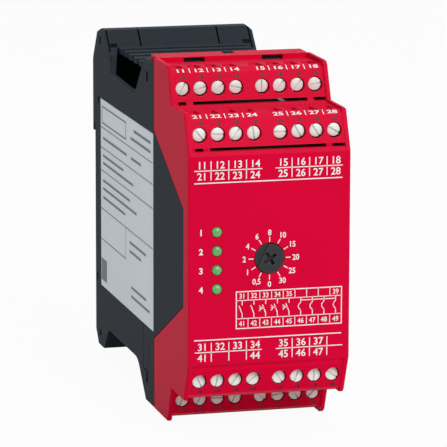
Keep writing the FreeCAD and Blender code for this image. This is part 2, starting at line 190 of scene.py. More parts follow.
class ShaderGroups:
    """Effects that several materials share, each made once."""

    def __init__(self) -> None:
        """Builds the three groups."""
        self.grain = self._moulded_grain()
        self.edge = self._edge_highlight_mask()
        self.dust = self._settled_dust()

    @staticmethod
    def _open(name: str, inputs: dict[str, float],
              outputs: list[str]) -> tuple[Wiring, Node, Node]:
        """Makes an empty group with float sockets.

        Args:
            name: The group's name.
            inputs: First value of each input, by its name.
            outputs: Names of the outputs.

        Returns:
            Its wiring, input node and output node.
        """
        tree = bpy.data.node_groups.new(name, "ShaderNodeTree")
        for label, value in inputs.items():
            socket = tree.interface.new_socket(label, in_out="INPUT", socket_type="NodeSocketFloat")
            socket.default_value = value
        for label in outputs:
            tree.interface.new_socket(label, in_out="OUTPUT", socket_type="NodeSocketFloat")
        wiring = Wiring(tree)
        return wiring, wiring.add("GroupInput"), wiring.add("GroupOutput")

    def _moulded_grain(self) -> NodeTree:
        """Fine spark-eroded grain of moulded plastic, and a slow change of tone."""
        wiring, start, end = self._open("moulded_grain", {"Scale": 2500.0, "Mottle": 0.08}, ["Height", "Tone"])
        fine = wiring.noise(start.outputs["Scale"], 3.0)
        slow = wiring.noise(45.0, 2.0)
        wiring.join(fine, end.inputs["Height"])
        centred = wiring.math("SUBTRACT", slow, 0.5)
        fine_centred = wiring.math("MULTIPLY", wiring.math("SUBTRACT", fine, 0.5), 0.5)
        swing = wiring.math("MULTIPLY", wiring.math("ADD", centred, fine_centred), start.outputs["Mottle"])
        wiring.join(wiring.math("ADD", swing, 1.0), end.inputs["Tone"])
        return wiring.tree

    def _edge_highlight_mask(self) -> NodeTree:
        """Mask for painted highlights along edges: 1 along outer corners and 0 on flat faces."""
        wiring, start, end = self._open("edge_highlight_mask", {"Gain": 6.0, "Breakup": 0.4}, ["Mask"])
        rounded = wiring.add("Bevel", samples=6)
        rounded.inputs["Radius"].default_value = 0.35 * MM
        true = wiring.add("NewGeometry")
        dot = wiring.add("VectorMath", operation="DOT_PRODUCT")
        wiring.join(rounded.outputs["Normal"], dot.inputs[0])
        wiring.join(true.outputs["Normal"], dot.inputs[1])
        bend = wiring.math("SUBTRACT", 1.0, dot.outputs["Value"])
        line = wiring.math("MULTIPLY", bend, start.outputs["Gain"], clamp=True)
        patchy = wiring.math("MULTIPLY", wiring.noise(380.0, 3.0), start.outputs["Breakup"])
        broken = wiring.math("MULTIPLY", line, wiring.math("SUBTRACT", 1.2, patchy), clamp=True)
        wiring.join(broken, end.inputs["Mask"])
        return wiring.tree

    def _settled_dust(self) -> NodeTree:
        """Mask for the little dust that lies on faces that look up."""
        wiring, start, end = self._open("settled_dust", {"Amount": 0.2}, ["Mask"])
        geometry = wiring.add("NewGeometry")
        split = wiring.add("SeparateXYZ")
        wiring.join(geometry.outputs["Normal"], split.inputs[0])
        facing = wiring.math("MULTIPLY", split.outputs["Z"], start.outputs["Amount"], clamp=True)
        wiring.join(wiring.math("MULTIPLY", facing, wiring.noise(700.0, 4.0), clamp=True), end.inputs["Mask"])
        return wiring.tree


def group_node(wiring: Wiring, tree: NodeTree, **values: float) -> Node:
    """Places a shared group in a material.

    Args:
        wiring: Wiring of the material.
        tree: The group.
        **values: Input values by socket name.

    Returns:
        The group node.
    """
    node = wiring.add("Group", node_tree=tree)
    wiring.supply(node, values)
    return node


def opened(name: str) -> tuple[Material, Wiring, Node]:
    """Makes a material with one Principled shader.

    Returns:
        The material, its wiring and the shader.
    """
    material = bpy.data.materials.new(name)
    material.use_nodes = True
    wiring = Wiring(material.node_tree)
    shader = wiring.add("BsdfPrincipled")
    wiring.join(shader.outputs[0], wiring.add("OutputMaterial").inputs["Surface"])
    return material, wiring, shader


def toned(wiring: Wiring, colour: object, grain: Node) -> NodeSocket:
    """Lets the grain change a colour's brightness.

    Args:
        wiring: Wiring of the material.
        colour: Colour, or a socket that gives one.
        grain: Node of the moulded grain.

    Returns:
        The uneven colour's socket.
    """
    tone = wiring.add("HueSaturation")
    wiring.supply(tone, {"Color": colour, "Value": grain.outputs["Tone"]})
    return tone.outputs["Color"]


def roughened(wiring: Wiring, grain: Node, share: float, roughness: float) -> NodeSocket:
    """Spreads a roughness with the grain, by a share that it lies in the middle of."""
    return wiring.math("ADD", wiring.math("MULTIPLY", grain.outputs["Height"], share), roughness - share / 2)


def bumped(wiring: Wiring, shader: Node, height: NodeSocket,
           depth: float, strength: float) -> None:
    """Feeds a height into the shader's normal, with the depth in metres."""
    bump = wiring.add("Bump")
    wiring.supply(bump, {"Height": height, "Distance": depth, "Strength": strength})
    wiring.join(bump.outputs["Normal"], shader.inputs["Normal"])


# ------------------------------------------------------------------ finishes
Colour = tuple[float, float, float, float]
DUST_COLOUR: Colour = (0.5, 0.47, 0.44, 1)
STAIN_COLOUR: Colour = (0.50, 0.49, 0.44, 1)
# Colour of the painted highlight along the edges of plated metal.
EDGE_HIGHLIGHT_ZINC_COLOUR: Colour = (0.95, 0.95, 0.92, 1)


@dataclass(frozen=True)
class MouldedPlastic:
    """Injection-moulded plastic with a fine grain and a painted highlight along its outer edges."""

    name: str
    colour: Colour
    # corner is the colour of the painted highlight along the outer edges.
    corner: Colour
    roughness: float = 0.42
    edge_highlight_amount: float = 0.6
    grain: float = 2500.0
    grain_depth: float = 0.012 * MM
    mottle: float = 0.08
    dust: float = 0.12
    specular: float = 0.06

    def build(self, groups: ShaderGroups) -> Material:
        """Returns the finished material."""
        material, wiring, shader = opened(self.name)
        grain = group_node(wiring, groups.grain, Scale=self.grain, Mottle=self.mottle)
        edge = group_node(wiring, groups.edge)
        dust = group_node(wiring, groups.dust, Amount=self.dust)
        # Paints a highlight along the outer edges in the corner colour.
        corner = wiring.math("MULTIPLY", edge.outputs["Mask"], self.edge_highlight_amount)
        lit = wiring.blend(corner, toned(wiring, self.colour, grain), self.corner)
        dusty = wiring.blend(wiring.math("MULTIPLY", dust.outputs["Mask"], 0.35), lit, DUST_COLOUR)
        dull = wiring.math("MULTIPLY", dust.outputs["Mask"], 0.3)
        rough = wiring.math("ADD", roughened(wiring, grain, 0.16, self.roughness), dull, clamp=True)
        wiring.supply(shader, {"Base Color": dusty, "Roughness": rough, "Specular IOR Level": self.specular})
        bumped(wiring, shader, grain.outputs["Height"], self.grain_depth, 0.5)
        return material


@dataclass(frozen=True)
class PlatedMetal:
    """Bright zinc-plated steel with turning marks and a painted highlight along its edges."""

    name: str
    colour: Colour
    roughness: float = 0.34
    metallic: float = 0.75
    stain: float = 0.25

    def build(self, groups: ShaderGroups) -> Material:
        """Returns the finished material."""
        material, wiring, shader = opened(self.name)
        grain = group_node(wiring, groups.grain, Scale=4200.0, Mottle=0.18)
        edge = group_node(wiring, groups.edge, Gain=3.0)
        stain = wiring.math("MULTIPLY", wiring.noise(900.0, 4.0), self.stain)
        dull = wiring.blend(stain, toned(wiring, self.colour, grain), STAIN_COLOUR)
        # Paints a highlight along the edges.
        bright = wiring.blend(wiring.math("MULTIPLY", edge.outputs["Mask"], 0.5), dull, EDGE_HIGHLIGHT_ZINC_COLOUR)
        rough = roughened(wiring, grain, 0.2, self.roughness)
        wiring.supply(shader, {"Base Color": bright, "Roughness": rough, "Metallic": self.metallic})
        bumped(wiring, shader, wiring.noise(3000.0, 2.0, (1, 0.1, 1)), 0.01 * MM, 0.4)
        return material


@dataclass(frozen=True)
class LampLens:
    """Milky green light guide, clouded at random with a paler green."""

    name: str
    colour: Colour
    heart: Colour

    def build(self, groups: ShaderGroups) -> Material:
        """Returns the finished material."""
        material, wiring, shader = opened(self.name)
        grain = group_node(wiring, groups.grain, Scale=1400.0, Mottle=0.5)
        cloud = wiring.math("MULTIPLY", wiring.noise(1100.0, 2.0), 1.0, clamp=True)
        body = wiring.blend(cloud, self.colour, self.heart)
        wiring.supply(shader, {
            "Base Color": toned(wiring, body, grain), "Roughness": 0.22, "Coat Weight": 0.6,
            "Subsurface Weight": 0.25, "Subsurface Radius": (0.4, 1.0, 0.4), "Subsurface Scale": 0.6 * MM,
        })
        bumped(wiring, shader, grain.outputs["Height"], 0.03 * MM, 0.4)
        return material


@dataclass(frozen=True)
class PrintedInk:
    """Screen-printed ink, slightly uneven, or printed film when it is pale and wide."""

    name: str
    colour: Colour
    shade: Colour
    roughness: float = 0.5

    def build(self, groups: ShaderGroups) -> Material:
        """Returns the finished material."""
        material, wiring, shader = opened(self.name)
        grain = group_node(wiring, groups.grain, Scale=1800.0, Mottle=0.06)
        uneven = wiring.math("MULTIPLY", wiring.noise(260.0, 3.0), 0.5)
        shaded = toned(wiring, wiring.blend(uneven, self.colour, self.shade), grain)
        rough = roughened(wiring, grain, 0.2, self.roughness)
        wiring.supply(shader, {"Base Color": shaded, "Roughness": rough, "Specular IOR Level": 0.3})
        bumped(wiring, shader, grain.outputs["Height"], 0.004 * MM, 0.4)
        return material


@dataclass(frozen=True)
class CircuitBoard:
    """Green solder mask with faint copper tracks under it."""

    name: str
    colour: Colour

    def build(self, groups: ShaderGroups) -> Material:
        """Returns the finished material."""
        material, wiring, shader = opened(self.name)
        place = wiring.add("TexCoord")
        bricks = wiring.add("TexBrick")
        wiring.supply(bricks, {"Vector": place.outputs["Object"], "Scale": 260.0, "Mortar Size": 0.04})
        tracks = wiring.math("SUBTRACT", 1.0, bricks.outputs["Fac"])
        grain = group_node(wiring, groups.grain, Scale=1500.0, Mottle=0.1)
        light = tuple(min(c * 1.7, 1.0) for c in self.colour[:3]) + (1,)
        wiring.supply(shader, {"Base Color": wiring.blend(tracks, light, self.colour), "Roughness": 0.35})
        bumped(wiring, shader, grain.outputs["Height"], 0.01 * MM, 0.3)
        return material


class Palette:
    """All the finishes, built once and looked up by material slot."""

    def __init__(self, groups: ShaderGroups) -> None:
        """Builds every material of the relay."""
        # The second colour of each moulded plastic is the painted highlight along its outer edges.
        finishes = {
            "red_hood": MouldedPlastic("red_hood_plastic", (0.76, 0.002, 0.042, 1), (0.84, 0.02, 0.08, 1),
                                       0.45, 0.45, specular=0.02),
            "dark_housing": MouldedPlastic("dark_housing_plastic", (0.024, 0.033, 0.043, 1), (0.07, 0.085, 0.10, 1),
                                           0.5, 0.45, specular=0.012),
            "label": PrintedInk("label_film", (0.84, 0.93, 1.0, 1), (0.80, 0.90, 0.98, 1), 0.42),
            "knob": MouldedPlastic("knob_plastic", (0.045, 0.047, 0.050, 1), (0.14, 0.14, 0.15, 1), 0.5),
            "switch_body": MouldedPlastic("switch_plastic", (0.02, 0.02, 0.022, 1), (0.08, 0.08, 0.08, 1)),
            "circuit_board": CircuitBoard("board_mask", (0.02, 0.13, 0.06, 1)),
            "capacitor_can": PlatedMetal("capacitor_sleeve", (0.10, 0.11, 0.14, 1), 0.4, 0.2),
            "clip_plastic": MouldedPlastic("clip_plastic", (0.030, 0.032, 0.036, 1), (0.11, 0.11, 0.12, 1), 0.5),
            "spring_steel": PlatedMetal("spring_steel", (0.62, 0.62, 0.64, 1), 0.28, 1.0),
            "lamp_lens": LampLens("lamp_lens_green", (0.05, 0.36, 0.06, 1), (0.22, 0.62, 0.20, 1)),
            "relay_case": MouldedPlastic("relay_case_plastic", (0.55, 0.55, 0.52, 1), (0.7, 0.7, 0.68, 1), 0.5),
            "terminal_plastic": MouldedPlastic("terminal_plastic", (0.035, 0.037, 0.042, 1), (0.1, 0.1, 0.11, 1), 0.55),
            "clamp_metal": PlatedMetal("clamp_zinc", (0.66, 0.65, 0.60, 1), 0.4, 0.9),
            # The screws' slight green tint is painted: it offsets the red light that the hood reflects onto them.
            "screw_metal": PlatedMetal("screw_zinc", (0.92, 1.0, 0.95, 1), 0.38, 0.05, 0.08),
        }
        self.by_slot = {slot: finish.build(groups) for slot, finish in finishes.items()}
        self.white_ink = PrintedInk("white_ink", (1.0, 0.98, 0.98, 1), (0.96, 0.90, 0.92, 1)).build(groups)
        self.grey_ink = PrintedInk("label_ink", (0.10, 0.12, 0.14, 1), (0.22, 0.25, 0.28, 1)).build(groups)
        # The dark red ink below paints the shade of the small recesses beside the screws.
        self.recess_shade_ink = PrintedInk("painted_recess_shade", (0.11, 0.002, 0.007, 1), (0.16, 0.002, 0.010, 1)).build(groups)

    def dress_frame(self) -> None:
        """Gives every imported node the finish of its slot."""
        for part in frame["record"]["subparts"]:
            node = frame["nodes"][part["node"]]
            material = self.by_slot[part["material_slot"]]
            if not node.material_slots:
                node.data.materials.append(material)
            for place in node.material_slots:
                place.material = material


# ------------------------------------------------------------------ mesh helpers
def placed(name: str, data: bpy.types.ID) -> Object:
    """Puts a new object with some data in the scene."""
    thing = bpy.data.objects.new(name, data)
    bpy.context.scene.collection.objects.link(thing)
    return thing


def piece(name: str, mesh: Mesh, material: Material, body: str) -> Object:
    """Puts a mesh in the scene as a piece of the relay.

    Args:
        name: The piece's name.
        mesh: Its mesh, in place.
        material: Its material.
        body: Body that it rides on.

    Returns:
        The new object.
    """
    thing = placed(name, mesh)
    mesh.materials.clear()
    mesh.materials.append(material)
    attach(thing, body)
    log.info("%s: %d faces", name, len(mesh.polygons))
    return thing


def meshed(name: str, shape: BMesh) -> Mesh:
    """Returns a shape as a mesh, and frees the shape."""
    mesh = bpy.data.meshes.new(name)
    shape.to_mesh(mesh)
    shape.free()
    return mesh


def evaluated(thing: Object) -> Mesh:
    """Returns the mesh that an object of the scene shows."""
    bpy.context.view_layer.update()
    return bpy.data.meshes.new_from_object(thing.evaluated_get(bpy.context.evaluated_depsgraph_get()))


def cut_out(body: Mesh, cuts: Mesh, join_first: bool = False) -> Mesh:
    """Takes one mesh out of another.

    Args:
        body: Mesh that is cut.
        cuts: Mesh that is taken out.
        join_first: Whether forms that overlap within a mesh are joined first.

    Returns:
        What is left of the body.
    """
    things = [placed(mesh.name, mesh) for mesh in (body, cuts)]
    cut = things[0].modifiers.new("cut", "BOOLEAN")
    cut.operation = "DIFFERENCE"
    cut.solver = "EXACT"
    cut.use_self = join_first
    cut.object = things[1]
    mesh = evaluated(things[0])
    for thing in things:
        bpy.data.objects.remove(thing)
    return mesh


def turned(name: str, profile: list[Pair], sides: int) -> Mesh:
    """Turns a profile about the depth axis.

    Args:
        name: The mesh's name.
        profile: Pairs of radius and depth, from the front centre to the back centre.
        sides: Steps round the circle.

    Returns:
        A closed mesh centred on the Y axis.
    """
    shape = bmesh.new()
    rings = []
    for radius, depth in profile:
        if radius < 1e-9:
            rings.append([shape.verts.new((0, depth, 0))])
            continue
        angles = [2 * math.pi * k / sides for k in range(sides)]
        rings.append([shape.verts.new((radius * math.cos(a), depth, radius * math.sin(a))) for a in angles])
    for near, far in zip(rings, rings[1:]):
        for k in range(sides):
            corners = [near[k % len(near)], near[(k + 1) % len(near)], far[(k + 1) % len(far)], far[k % len(far)]]
            shape.faces.new(list(dict.fromkeys(corners)))
    bmesh.ops.recalc_face_normals(shape, faces=shape.faces)
    return meshed(name, shape)


def smoothed(mesh: Mesh, angle: float = 35.0) -> None:
    """Shades a mesh smooth across corners flatter than the angle in degrees."""
    mesh.shade_smooth()
    mesh.set_sharp_from_angle(angle=math.radians(angle))


@dataclass
class Sheet:
    """A flat patch of the relay that print lies on, drawn in millimetres from its origin.

    cap_height is the height of the built-in figures at size 1, which their text is scaled by.
    """

    origin: Vector
    right: Vector
    up: Vector
    lift: float = 0.03 * MM
    cap_height: float = 0.70
    shape: BMesh = field(default_factory=bmesh.new)

    @property
    def normal(self) -> Vector:
        """Direction out of the surface."""
        return self.right.cross(self.up).normalized()

    def place(self, u: float, v: float) -> Vector:
        """Returns the point at u right and v up, in millimetres."""
        return self.origin + self.right * (u * MM) + self.up * (v * MM) + self.normal * self.lift

    def patch(self, corners: list[Pair]) -> None:
        """Adds one flat face from its corners, counterclockwise."""
        self.shape.faces.new([self.shape.verts.new(self.place(u, v)) for u, v in corners])

    def stroke(self, u0: float, v0: float, u1: float, v1: float, width: float) -> None:
        """Adds a straight line of the given width, with square ends."""
        along = Vector((u1 - u0, v1 - v0)).normalized()
        side = Vector((-along.y, along.x)) * (width / 2)
        ends = [Vector((u0, v0)), Vector((u1, v1))]
        corners = [ends[0] - side, ends[1] - side, ends[1] + side, ends[0] + side]
        self.patch([tuple(c) for c in corners])

    def chain(self, points: list[Pair], width: float) -> None:
        """Adds a line through several points."""
        for (u0, v0), (u1, v1) in zip(points, points[1:]):
            self.stroke(u0, v0, u1, v1, width)

    def frame(self, u0: float, v0: float, u1: float, v1: float, width: float = 0.28) -> None:
        """Adds the four sides of a rectangle."""
        half = width / 2
        for v in (v0, v1):
            self.stroke(u0 - half, v, u1 + half, v, width)
        for u in (u0, u1):
            self.stroke(u, v0 + half, u, v1 - half, width)

    def text(self, words: str, u: float, v: float, height: float, weight: float, squeeze: float = 1.0) -> None:
        """Adds a number, centred on a point.

        Args:
            words: Plain figures.
            u: Middle, to the right.
            v: Middle, up.
            height: Height of a figure.
            weight: How far each stroke is thickened, as a share of the letter size.
            squeeze: Width of the figures against their natural width.
        """
        curve = bpy.data.curves.new("figures", "FONT")
        curve.body = words
        curve.align_x = "CENTER"
        curve.size = 1.0
        curve.offset = weight
        curve.resolution_u = 3
        holder = placed("figures", curve)
        mesh = evaluated(holder)
        tall = height / self.cap_height
        for vertex in mesh.vertices:
            vertex.co = self.place(u + vertex.co.x * tall * squeeze, v + (vertex.co.y - self.cap_height / 2) * tall)
        self.shape.from_mesh(mesh)
        bpy.data.objects.remove(holder)
        bpy.data.curves.remove(curve)
        bpy.data.meshes.remove(mesh)

    def lay(self, name: str, ink: Material, slot: Finish = Finish.HOOD) -> None:
        """Puts everything drawn so far on the housing as one piece.

        Args:
            name: The piece's name.
            ink: Its material.
            slot: Record slot of the surface under it; not used.
        """
        piece(name, meshed(name, self.shape), ink, Body.HOUSING.value)


# ------------------------------------------------------------------ moulded shells
Line = list[Vector]
INNER_WALL = 21.0


def lean(rise: float) -> float:
    """Returns how far back a terminal face lies after rising by a height, both in millimetres."""
    return rise * math.tan(TILT)


def both_halves(half: list[tuple[float, ...]]) -> list[tuple[float, ...]]:
    """Puts the mirror image below mid-height before a half outline."""
    return [(p[0], -p[1], *p[2:]) for p in reversed(half)] + half


def rounded(corners: list[tuple[float, ...]], steps: int = 6) -> Line:
    """Turns corners into points, with an arc where a third number gives a radius.

    Args:
        corners: Depth and height of each corner, and a radius where it is round.
        steps: Flats on each arc.

    Returns:
        The points of the closed outline.
    """
    points = []
    for index, (depth, height, *radius) in enumerate(corners):
        corner = Vector((depth, height))
        if not radius:
            points.append(corner)
            continue
        before = (Vector(corners[index - 1][:2]) - corner).normalized()
        after = (Vector(corners[(index + 1) % len(corners)][:2]) - corner).normalized()
        half = before.angle(after) / 2
        centre = corner + (before + after).normalized() * (radius[0] / math.sin(half))
        start = corner + before * (radius[0] / math.tan(half)) - centre
        end = corner + after * (radius[0] / math.tan(half)) - centre
        sweep = math.atan2(start.x * end.y - start.y * end.x, start.dot(end))
        for step in range(steps + 1):
            points.append(centre + Matrix.Rotation(sweep * step / steps, 2) @ start)
    return points


def moved_aside(line: Line, distance: float, closed: bool) -> Line:
    """Moves a line sideways, to the right of its direction.

    Args:
        line: Points of the line.
        distance: How far, in millimetres.
        closed: Whether the last point joins the first.

    Returns:
        As many points, on the moved line.
    """
    moved = []
    for index, point in enumerate(line):
        directions = []
        if closed or index > 0:
            directions.append((point - line[index - 1]).normalized())
        if closed or index < len(line) - 1:
            directions.append((line[(index + 1) % len(line)] - point).normalized())
        sides = [Vector((d.y, -d.x)) for d in directions]
        mean = sum(sides, Vector((0.0, 0.0))).normalized()
        moved.append(point + mean * (distance / mean.dot(sides[0])))
    return moved


@dataclass
class Solid:
    """Closed forms in millimetres: X, depth behind the panel and height from mid-height."""

    shape: BMesh = field(default_factory=bmesh.new)
    rod_sides: int = 32

    def loft(self, rings: list[list[Triple]]) -> None:
        """Joins rings with the same number of points into one closed form."""
        rows = [[self.shape.verts.new(point) for point in ring] for ring in rings]
        self.shape.faces.new(rows[0])
        self.shape.faces.new(rows[-1])
        for near, far in zip(rows, rows[1:]):
            for index in range(len(near)):
                self.shape.faces.new([near[index - 1], near[index], far[index], far[index - 1]])

    def sweep(self, outline: Line, x0: float, x1: float) -> None:
        """Sweeps a side outline between two X positions."""
        self.loft([[(x, point[0], point[1]) for point in outline] for x in (x0, x1)])

    def block(self, x: Pair, depth: Pair, height: Pair) -> None:
        """Adds a box from its low and high ends."""
        self.sweep([(depth[0], height[0]), (depth[1], height[0]), (depth[1], height[1]), (depth[0], height[1])], *x)

    def pair(self, x: Pair, depth: Pair, height: Pair) -> None:
        """Adds a box and its mirror image across the middle plane."""
        self.block(x, depth, height)
        self.block((-x[1], -x[0]), depth, height)

    def ends(self, x: Pair, depth: Pair, height: Pair) -> None:
        """Adds a box and its mirror image below mid-height."""
        self.block(x, depth, height)
        self.block(x, depth, (-height[1], -height[0]))

    def rod(self, radius: float, x: float, height: float, depth: Pair) -> None:
        """Adds a round bar along the depth."""
        angles = [2 * math.pi * (k + 0.5) / self.rod_sides for k in range(self.rod_sides)]
        self.loft([[(x + radius * math.cos(a), d, height + radius * math.sin(a)) for a in angles] for d in depth])

    def mesh(self, name: str) -> Mesh:
        """Returns the forms as one mesh with its faces turned outward."""
        bmesh.ops.recalc_face_normals(self.shape, faces=self.shape.faces)
        return meshed(name, self.shape)


def carved(name: str, body: Solid, cuts: Solid) -> Mesh:
    """Joins the forms of a body, takes the cuts out and puts it in the relay's place.

    Args:
        name: The mesh's name.
        body: Forms that make up the body.
        cuts: Forms that are cut away.

    Returns:
        One closed mesh in metres.
    """
    mesh = cut_out(body.mesh(name), cuts.mesh(name + "_cuts"), join_first=True)
    mesh.transform(Matrix.Translation((0, PANEL_Y, MIDDLE_Z)) @ Matrix.Scale(MM, 4))
    return mesh


@dataclass(frozen=True)
class Tier:
    """One terminal tier of the hood: leaning face, label strip and deck, in millimetres.

    The face lies a recess behind the rims and reaches below and above the screws. The strip leads back
    and away from mid-height by its run and rise.
    """

    depth: float
    height: float
    recess: float = 1.0
    below: float = 3.25
    above: float = 4.0
    run: float = 2.2
    rise: float = 1.15

    @property
    def face(self) -> float:
        """Depth of the leaning face at the level of the screws."""
        return self.depth - self.recess

    @property
    def top(self) -> Pair:
        """Upper edge of the leaning face."""
        return (self.face + lean(self.above), self.height + self.above)

    @property
    def deck(self) -> Pair:
        """Front edge of the deck behind the label strip."""
        return (self.top[0] + self.run + 0.4, self.top[1] + self.rise - 0.3)

    def outline(self) -> list[Pair]:
        """Returns the corners from the foot of the face to the deck."""
        ridge = (self.top[0] + self.run, self.top[1] + self.rise)
        return [(self.face - lean(self.below), self.height - self.below), self.top, ridge, self.deck]


INNER_TIER = Tier(3.5, 33.65)
OUTER_TIER = Tier(22.1, 43.25)
TIERS = {1: (OUTER_TIER, 1.0), 2: (INNER_TIER, 1.0), 3: (INNER_TIER, -1.0), 4: (OUTER_TIER, -1.0)}


@dataclass
class FrontHood:
    """Stepped red hood: a thin shell with leaning terminal faces between two raised rims."""

    palette: Palette
    half_width: float = 22.5
    half_height: float = 49.5
    wall: float = 1.5
    rim: float = 1.1
    rim_bevel: float = 0.35
    panel_half: float = 28.4
    step_height: float = 39.3
    step_depth: float = 18.7
    rim_end: float = 38.6
    riser: float = 38.0
    band_end: float = 46.0
    band_half: float = 20.8
    tongue_tip: Pair = (5.7, 13.2)
    tongue_root: float = 29.2
    hole: float = 2.08
    window_place: float = 11.15
    window_half: float = 3.05
    knob_hole: float = 4.25
    lamp_hole: float = 1.55
    lamp_place: float = -14.6
    lamp_pitch: float = 5.2
    cover_slots: tuple[Pair, ...] = ((-20.3, -18.0), (-16.2, 16.0), (17.6, 21.2))

    def rim_line(self) -> Line:
        """Returns the outline of a side wall."""
        rise, top_rise = self.step_height - self.panel_half, self.half_height - self.step_height
        return rounded(both_halves([
            (0.0, self.panel_half, 1.0), (lean(rise), self.step_height, 1.2), (self.step_depth, self.step_height),
            (self.step_depth + lean(top_rise), self.half_height, 2.0), (self.rim_end, self.half_height),
            (self.rim_end, self.tongue_root), self.tongue_tip,
        ]))

    def shell_line(self) -> Line:
        """Returns the outline of the shell's wall, outside and back along the inside."""
        inner, outer = INNER_TIER.outline(), OUTER_TIER.outline()
        step = inner[-1][1]
        half = [
            (0.0, self.panel_half), (inner[0][0], self.panel_half + 1.1), *inner,
            (outer[0][0] - 1.1, step), (outer[0][0] - 0.3, step + 0.8), *outer,
            (self.riser, outer[-1][1]), (self.riser, self.half_height), (self.band_end, self.half_height),
        ]
        ridges = (inner[2], outer[2])
        outside = rounded(both_halves(half))
        inside = rounded(both_halves([corner for corner in half if corner not in ridges]))
        return outside + moved_aside(inside, self.wall, False)[::-1]

    def body(self) -> Solid:
        """Returns the shell and its two side walls."""
        form = Solid()
        form.sweep(self.shell_line(), self.rim - self.half_width, self.half_width - self.rim)
        line = self.rim_line()
        bevelled = moved_aside(line, self.rim_bevel, True)
        for side in (-1, 1):
            stations = ((self.half_width - self.rim - 0.1, line), (self.half_width - self.rim_bevel, line),
                        (self.half_width, bevelled))
            form.loft([[(side * x, point[0], point[1]) for point in ring] for x, ring in stations])
        return form

    def terminal_cuts(self, cuts: Solid) -> None:
        """Cuts the screw holes, the wire funnels and the slots for a marker cover.

        A funnel's mouth and throat each have a drop below the deck, a half width at the front and at
        the back, and a front and a back end.

        Args:
            cuts: Where the forms to be cut away are added.
        """
        mouth = (-0.02, 2.1, 1.2, -2.6, 2.8)
        throat = (self.wall + 0.05, 1.6, 1.05, -1.9, 1.4)
        for row, (tier, side) in TIERS.items():
            for x in POLES_MM:
                cuts.rod(self.hole, x, side * tier.height, (tier.depth - 4.5, tier.depth + 3.2))
                rings = []
                for drop, front, back, start, end in (mouth, throat):
                    depth, height = tier.deck[0] + 4.7, side * (tier.deck[1] - drop)
                    rings.append([(x + front, depth + start, height), (x + back, depth + end, height),
                                  (x - back, depth + end, height), (x - front, depth + start, height)])
                cuts.loft(rings)
            if row < 3:
                foot = tier.outline()[0]
                for span in self.cover_slots:
                    cuts.block(span, (foot[0] - 3.0, foot[0] + 2.4), (foot[1] - 1.0, foot[1]))

    def build(self) -> None:
        """Carves the hood and sets it in place of the plainer one."""
        cuts = Solid()
        self.terminal_cuts(cuts)
        for x in (-self.window_place, self.window_place):
            cuts.ends((x - self.window_half, x + self.window_half), (self.riser - 0.1, self.riser + 4.2),
                      (46.8, self.half_height - 0.25))
        cuts.ends((-1.7, 1.7), (self.riser + 4.0, self.band_end + 1), (40, 60))
        through = (-1, 3)
        cuts.rod(self.knob_hole, 0, 0, through)
        for index in range(4):
            cuts.rod(self.lamp_hole, self.lamp_place, self.lamp_pitch * (1.5 - index), through)
        behind_rim = (self.rim_end + 0.02, 60)
        cuts.pair((self.band_half, self.half_width - self.rim - 0.05), behind_rim, (-60, 0))
        cuts.pair((INNER_WALL, self.half_width - self.rim + 0.02), behind_rim, (0, self.half_height - self.wall))
        mesh = carved("moulded_hood", self.body(), cuts)
        hood = piece("moulded_hood", mesh, self.palette.by_slot["red_hood"], Body.HOUSING.value)
        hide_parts("front_hood")


